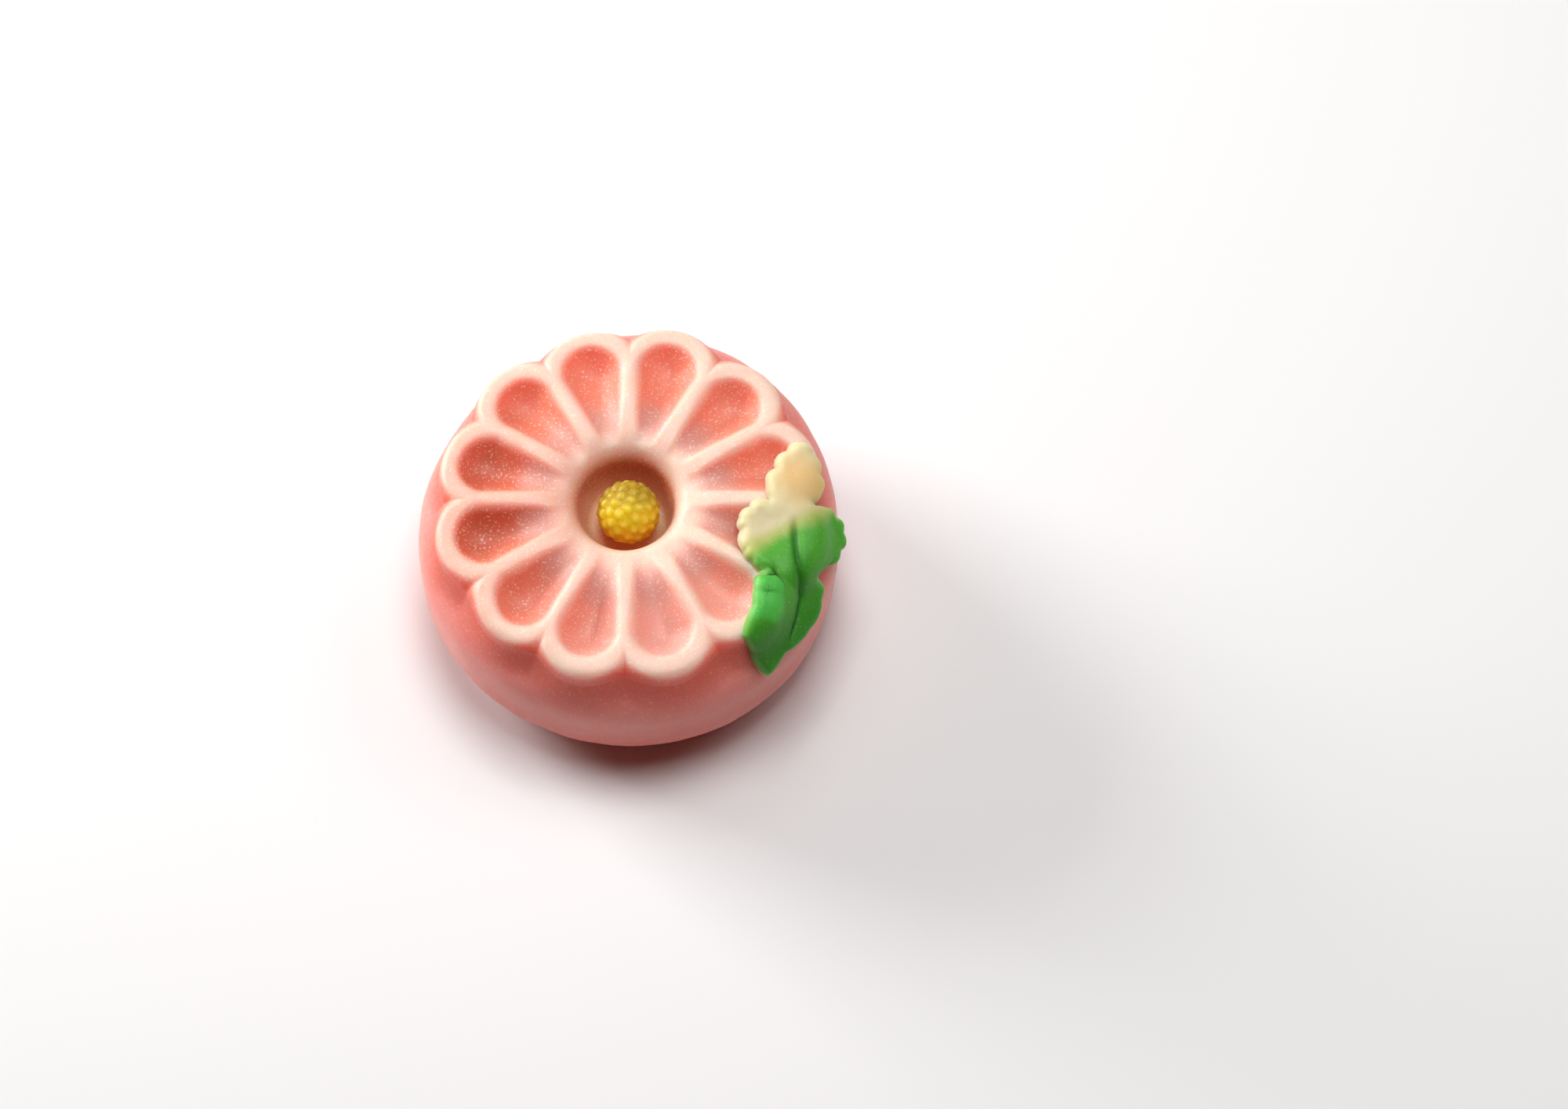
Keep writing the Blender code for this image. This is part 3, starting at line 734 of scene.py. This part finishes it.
# The leaf hangs as its solid does. Points past the solid's edge follow the ones beside them, and
# where the leaf would sink into the flower it rests on it.
missed = np.isnan(cad_heights)
drape = np.where(missed, np.nanmean(cad_heights), cad_heights)
for _ in range(LEAF_FILLING):
    drape = np.where(missed, beside(drape), drape)
for _ in range(LEAF_SOFTENING):
    drape = beside(drape)
drape = np.fmax(drape, floor_heights)
for _ in range(LEAF_RESTING):
    drape = beside(drape)


def rounded_patch(place, reach):
    """Smooth round patch on the leaf, 1 at its middle."""
    away = np.linalg.norm(leaf_flat - np.array(place), axis=1) / reach
    return np.exp(-away * away)


# The lower left lobe steps up onto a petal's rim. A fingertip has left a dimple in it, and above the
# step the leaf hangs into the petal's hollow.
step_up = smooth_step(STEP_TOP, STEP_TOP - STEP_RUN, leaf_flat[:, 1])
step_up *= smooth_step(STEP_SIDE, STEP_SIDE - STEP_SIDE_RUN, leaf_flat[:, 0])
step_up *= smooth_step(STEP_FADE_END, STEP_FADE_START, leaf_flat[:, 1])
drape += STEP_HEIGHT * step_up - DIMPLE_DEPTH * rounded_patch(DIMPLE_PLACE, DIMPLE_REACH)
drape -= RECESS_DEPTH * rounded_patch(RECESS_PLACE, RECESS_REACH)

under = leaf_places(drape)
crosses = np.cross(under[corners[:, 1]] - under[corners[:, 0]], under[corners[:, 2]] - under[corners[:, 0]])
facings = np.zeros_like(under)
for corner in range(3):
    np.add.at(facings, corners[:, corner], crosses)
facings /= np.linalg.norm(facings, axis=1)[:, None]
from_rim = line_distance(leaf_flat, closed_rim)
from_vein = line_distance(leaf_flat, VEIN)
inset = np.clip(from_rim / LEAF_ROUNDING, 0.0, 1.0)
vein_start, vein_end = VEIN[0, 1], VEIN[-1, 1]
groove = np.exp(-(from_vein / VEIN_WIDTH) ** 2)
groove *= smooth_step(vein_start, vein_start - VEIN_FADE_TOP, leaf_flat[:, 1])
groove *= smooth_step(vein_end, vein_end + VEIN_FADE_FOOT, leaf_flat[:, 1])
crown = np.sqrt(1.0 - (1.0 - inset) ** 2)
thickness = LEAF_EDGE + (LEAF_THICKNESS - LEAF_EDGE) * crown - VEIN_DEPTH * groove
thickness = np.maximum(thickness, LEAF_EDGE) + uneven(under, *LEAF_LUMP)
over = under + facings * thickness[:, None]
count = len(leaf_flat)
leaf_faces = [tuple(triangle)[::-1] for triangle in triangles]
leaf_faces += [tuple(index + count for index in triangle) for triangle in triangles]
leaf_faces += [(a, b, b + count, a + count) for a, b in rim_edges]
leaf = smooth_object("leaf", np.concatenate([under, over]), leaf_faces)
green = GREEN_LINE + GREEN_LINE_SLOPE * leaf_flat[:, 0] - leaf_flat[:, 1]
beside_vein = np.exp(-(from_vein / VEIN_SHADE_WIDTH) ** 2)
beside_vein *= smooth_step(vein_start, VEIN_SHADE_FULL, leaf_flat[:, 1])
# Painted shade in the dimple and the recess
recess_shade = DIMPLE_SHADE * rounded_patch(DIMPLE_PLACE, DIMPLE_REACH)
recess_shade += rounded_patch(RECESS_PLACE, RECESS_REACH)
above_foot = smooth_step(PALE_FOOT, PALE_FOOT + PALE_RUN, leaf_flat[:, 1])
# The masks of the painted shade by the vein, in the recess and dimple, and of the painted light on the
# raised lower lobe are kept here too.
for name, values in (
        ("green", green), ("from_rim", from_rim), ("groove", groove),
        ("vein_and_recess_shade", np.maximum(beside_vein, recess_shade)), ("tan", rounded_patch(TAN_PLACE, TAN_REACH)),
        ("lobe_light", step_up * above_foot)):
    add_values(leaf, name, np.tile(values, 2))

# Rolled bean paste in green and cream: the two colours run into each other through an olive band.
# It is painted darker in and beside the vein, in the recess and in the dimple, a painted shade, and paler
# on the raised lower lobe, a painted light. It lets light through at its edge, where it is also painted
# paler, a painted light.
tree, output, green_paste = new_material("rolled_bean_paste_green_and_cream")
place = add_node(tree, "ShaderNodeTexCoord").outputs["Object"]
grain = fine_noise(tree, place, GRAIN_SIZE, 2.0)
mottle = fine_noise(tree, place, MOTTLE_SIZE, 2.0)
green_share = kept_value(tree, "green")
inputs = {0: mottle, 1: GREEN_WANDER, 2: -GREEN_WANDER / 2.0}
wander = add_node(tree, "ShaderNodeMath", inputs, operation="MULTIPLY_ADD").outputs[0]
inputs = {0: green_share, 1: wander}
past_line = add_node(tree, "ShaderNodeMath", inputs, operation="ADD").outputs[0]
tan_share = ranged(tree, kept_value(tree, "tan"), 0.1, 1.0)
colour = mixed(tree, tan_share, linear("DCD2AE"), linear("E6C78F"))
# Each later colour: how far it covers what lies under it, and its value
for cover, code in (
        (ranged(tree, past_line, -GREEN_BLEND, 0.5), "B8BF72"),
        (ranged(tree, past_line, -0.2, GREEN_BLEND), "5FB040"),
        (ranged(tree, green_share, *DEEP_GREEN_RANGE), "4C9834"),
        # Painted light on the raised lower lobe
        (ranged(tree, kept_value(tree, "lobe_light"), 0.2, 0.9), "62C25C"),
        # Painted light at the edge, where light comes through
        (ranged(tree, kept_value(tree, "from_rim"), 0.0, RIM_PALENESS_WIDTH, 0.25, 0.0), "BFD9A0"),
        # Painted shade beside the vein and in the recess and dimple
        (ranged(tree, kept_value(tree, "vein_and_recess_shade"), 0.0, 1.0, 0.0, 0.7), "43902C"),
        # Painted shade in the vein's groove
        (ranged(tree, kept_value(tree, "groove"), 0.1, 1.0, 0.0, 0.4), "2F7A1C"),
        (ranged(tree, grain, 0.58, 0.76, 0.0, 0.14), "F4F8E0")):
    colour = mixed(tree, cover, colour, linear(code))
surface = add_node(tree, "ShaderNodeBsdfPrincipled", {
    "Base Color": colour,
    "Roughness": 0.5,
    "IOR": 1.42,
    "Subsurface Weight": 1.0,
    "Subsurface Radius": (0.9, 1.0, 0.5),
    "Subsurface Scale": 2.4 * MM,
    "Normal": bumped(tree, grain, 0.3, 0.03),
})
tree.links.new(surface.outputs[0], output.inputs["Surface"])
leaf.data.materials.append(green_paste)
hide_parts("leaf")
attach(leaf, "root")

# Studio
# A seamless white table under one low soft light from the back left, a weak one high behind, one
# overhead and a weak one on the right, with a faint warm fill. It is seen from in front, from 66.5
# degrees above the table.

CAMERA_ELEVATION = math.radians(66.5)
CAMERA_DISTANCE = 500.0
PICTURE_WIDTH = 2000.0
PICTURE_HEIGHT = 1414.0
SENSOR_WIDTH = 36.0
FOCAL_PIXELS = 5370.0
FLOWER_PIXEL_X = 800.0
FLOWER_PIXEL_Y = 635.0
FLOWER_CENTRE = Vector((0.0, 0.0, CREST_Z))
TABLE_HALF_WIDTH = 2000.0
LIGHT_DISTANCE = 500.0
LIGHT_SIZE = 220.0
# Each light: its name, its azimuth and elevation in degrees, and its power in watts
LIGHTS = (
    ("window_left", 148.0, 20.0, 2.0),
    ("window_back", 95.0, 66.0, 0.3),
    ("ceiling", 60.0, 82.0, 1.2),
    ("window_right", 20.0, 50.0, 0.35),
)
FILL_STRENGTH = 0.04

right = Vector((1.0, 0.0, 0.0))
up = Vector((0.0, math.sin(CAMERA_ELEVATION), math.cos(CAMERA_ELEVATION)))
forward = Vector((0.0, math.cos(CAMERA_ELEVATION), -math.sin(CAMERA_ELEVATION)))
sideways = (FLOWER_PIXEL_X - PICTURE_WIDTH / 2.0) / FOCAL_PIXELS
upwards = (PICTURE_HEIGHT / 2.0 - FLOWER_PIXEL_Y) / FOCAL_PIXELS
eye = FLOWER_CENTRE - CAMERA_DISTANCE * (forward + sideways * right + upwards * up)
camera = bpy.data.objects.new("camera", bpy.data.cameras.new("camera"))
camera.data.sensor_width = SENSOR_WIDTH
camera.data.lens = FOCAL_PIXELS / PICTURE_WIDTH * SENSOR_WIDTH
camera.matrix_world = Matrix.Translation(eye * MM) @ Matrix((right, up, -forward)).transposed().to_4x4()
bpy.context.scene.collection.objects.link(camera)
bpy.context.scene.camera = camera

half = TABLE_HALF_WIDTH * MM
floor_mesh = bpy.data.meshes.new("table")
floor_mesh.from_pydata([
    (-half, -half, 0.0),
    (half, -half, 0.0),
    (half, half, 0.0),
    (-half, half, 0.0),
], [], [(0, 1, 2, 3)])
floor = bpy.data.objects.new("table", floor_mesh)
bpy.context.scene.collection.objects.link(floor)
tree, output, table_card = new_material("matt_white_card")
# Matt white card, which shows only soft shadows
surface = add_node(tree, "ShaderNodeBsdfPrincipled", {"Base Color": linear("F5F5F5"), "Roughness": 0.8})
tree.links.new(surface.outputs[0], output.inputs["Surface"])
floor_mesh.materials.append(table_card)


def soft_light(name, azimuth, elevation, power):
    """Square soft light that faces the sweet from an azimuth and an elevation in degrees."""
    light = bpy.data.lights.new(name, "AREA")
    light.size = LIGHT_SIZE * MM
    light.energy = power
    obj = bpy.data.objects.new(name, light)
    side, rise = math.radians(azimuth), math.radians(elevation)
    away = Vector((math.cos(rise) * math.cos(side), math.cos(rise) * math.sin(side), math.sin(rise)))
    obj.location = (FLOWER_CENTRE + LIGHT_DISTANCE * away) * MM
    obj.rotation_euler = (-away).to_track_quat("-Z", "Y").to_euler()
    bpy.context.scene.collection.objects.link(obj)


for light in LIGHTS:
    soft_light(*light)
world = bpy.data.worlds.new("room")
world.use_nodes = True
fill = world.node_tree.nodes["Background"]
fill.inputs["Color"].default_value = linear("FFD0BC")
fill.inputs["Strength"].default_value = FILL_STRENGTH
bpy.context.scene.world = world
bpy.context.scene.view_settings.view_transform = "Standard"
bpy.context.scene.view_settings.look = "Medium High Contrast"
